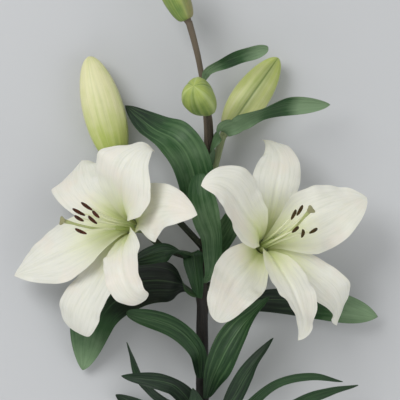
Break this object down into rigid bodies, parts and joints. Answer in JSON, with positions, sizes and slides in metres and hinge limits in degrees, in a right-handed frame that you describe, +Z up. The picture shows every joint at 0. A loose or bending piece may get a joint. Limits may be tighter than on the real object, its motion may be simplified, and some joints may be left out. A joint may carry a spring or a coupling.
{
  "type": "cut flowering stem of a white lily",
  "caption": "Cut lily stem laid on its back, with open white blooms, pale pointed buds and narrow green leaves; it rests on its cut end and the bellies of its large buds.",
  "frame": {"origin": "centre of the footprint, on the surface that the stem lies on", "axes": "+Z up from the surface, +Y along the stem from its cut end to the top bud, +X to the right of the stem seen from above"},
  "size_m": [0.2781, 0.4376, 0.1222],
  "materials": {
    "tepal": "satin",
    "bud": "satin",
    "leaf": "satin",
    "stem": "satin",
    "pistil": "satin",
    "anther": "matte"
  },
  "bodies": {
    "root": {"bud_left": "bud", "bud_middle": "bud", "bud_right": "bud", "bud_top": "bud", "leaf_front": "leaf", "leaf_left_arched": "leaf", "leaf_left_bent": "leaf", "leaf_left_broad": "leaf", "leaf_left_dark": "leaf", "leaf_left_thin": "leaf", "leaf_right_bent": "leaf", "leaf_right_broad": "leaf", "leaf_right_dark": "leaf", "leaf_right_long": "leaf", "leaf_right_pointed": "leaf", "leaf_right_striped": "leaf", "leaf_top_broad": "leaf", "leaf_top_slim": "leaf", "leaf_under_1": "leaf", "leaf_under_2": "leaf", "leaf_under_3": "leaf", "leaf_under_4": "leaf", "leaf_under_5": "leaf", "leaf_under_6": "leaf", "leaf_upper_broad": "leaf", "leaf_upright": "leaf", "left_bloom_anther_1": "anther", "left_bloom_anther_2": "anther", "left_bloom_anther_3": "anther", "left_bloom_anther_4": "anther", "left_bloom_anther_5": "anther", "left_bloom_anther_6": "anther", "left_bloom_petal_low": "tepal", "left_bloom_petal_side": "tepal", "left_bloom_petal_top": "tepal", "left_bloom_pistil": "pistil", "left_bloom_sepal_low": "tepal", "left_bloom_sepal_near": "tepal", "left_bloom_sepal_upper": "tepal", "right_bloom_anther_1": "anther", "right_bloom_anther_2": "anther", "right_bloom_anther_3": "anther", "right_bloom_anther_4": "anther", "right_bloom_anther_5": "anther", "right_bloom_anther_6": "anther", "right_bloom_petal_low": "tepal", "right_bloom_petal_side": "tepal", "right_bloom_petal_upper": "tepal", "right_bloom_pistil": "pistil", "right_bloom_sepal_low": "tepal", "right_bloom_sepal_near": "tepal", "right_bloom_sepal_top": "tepal", "stem": "stem"}
  },
  "joints": []
}
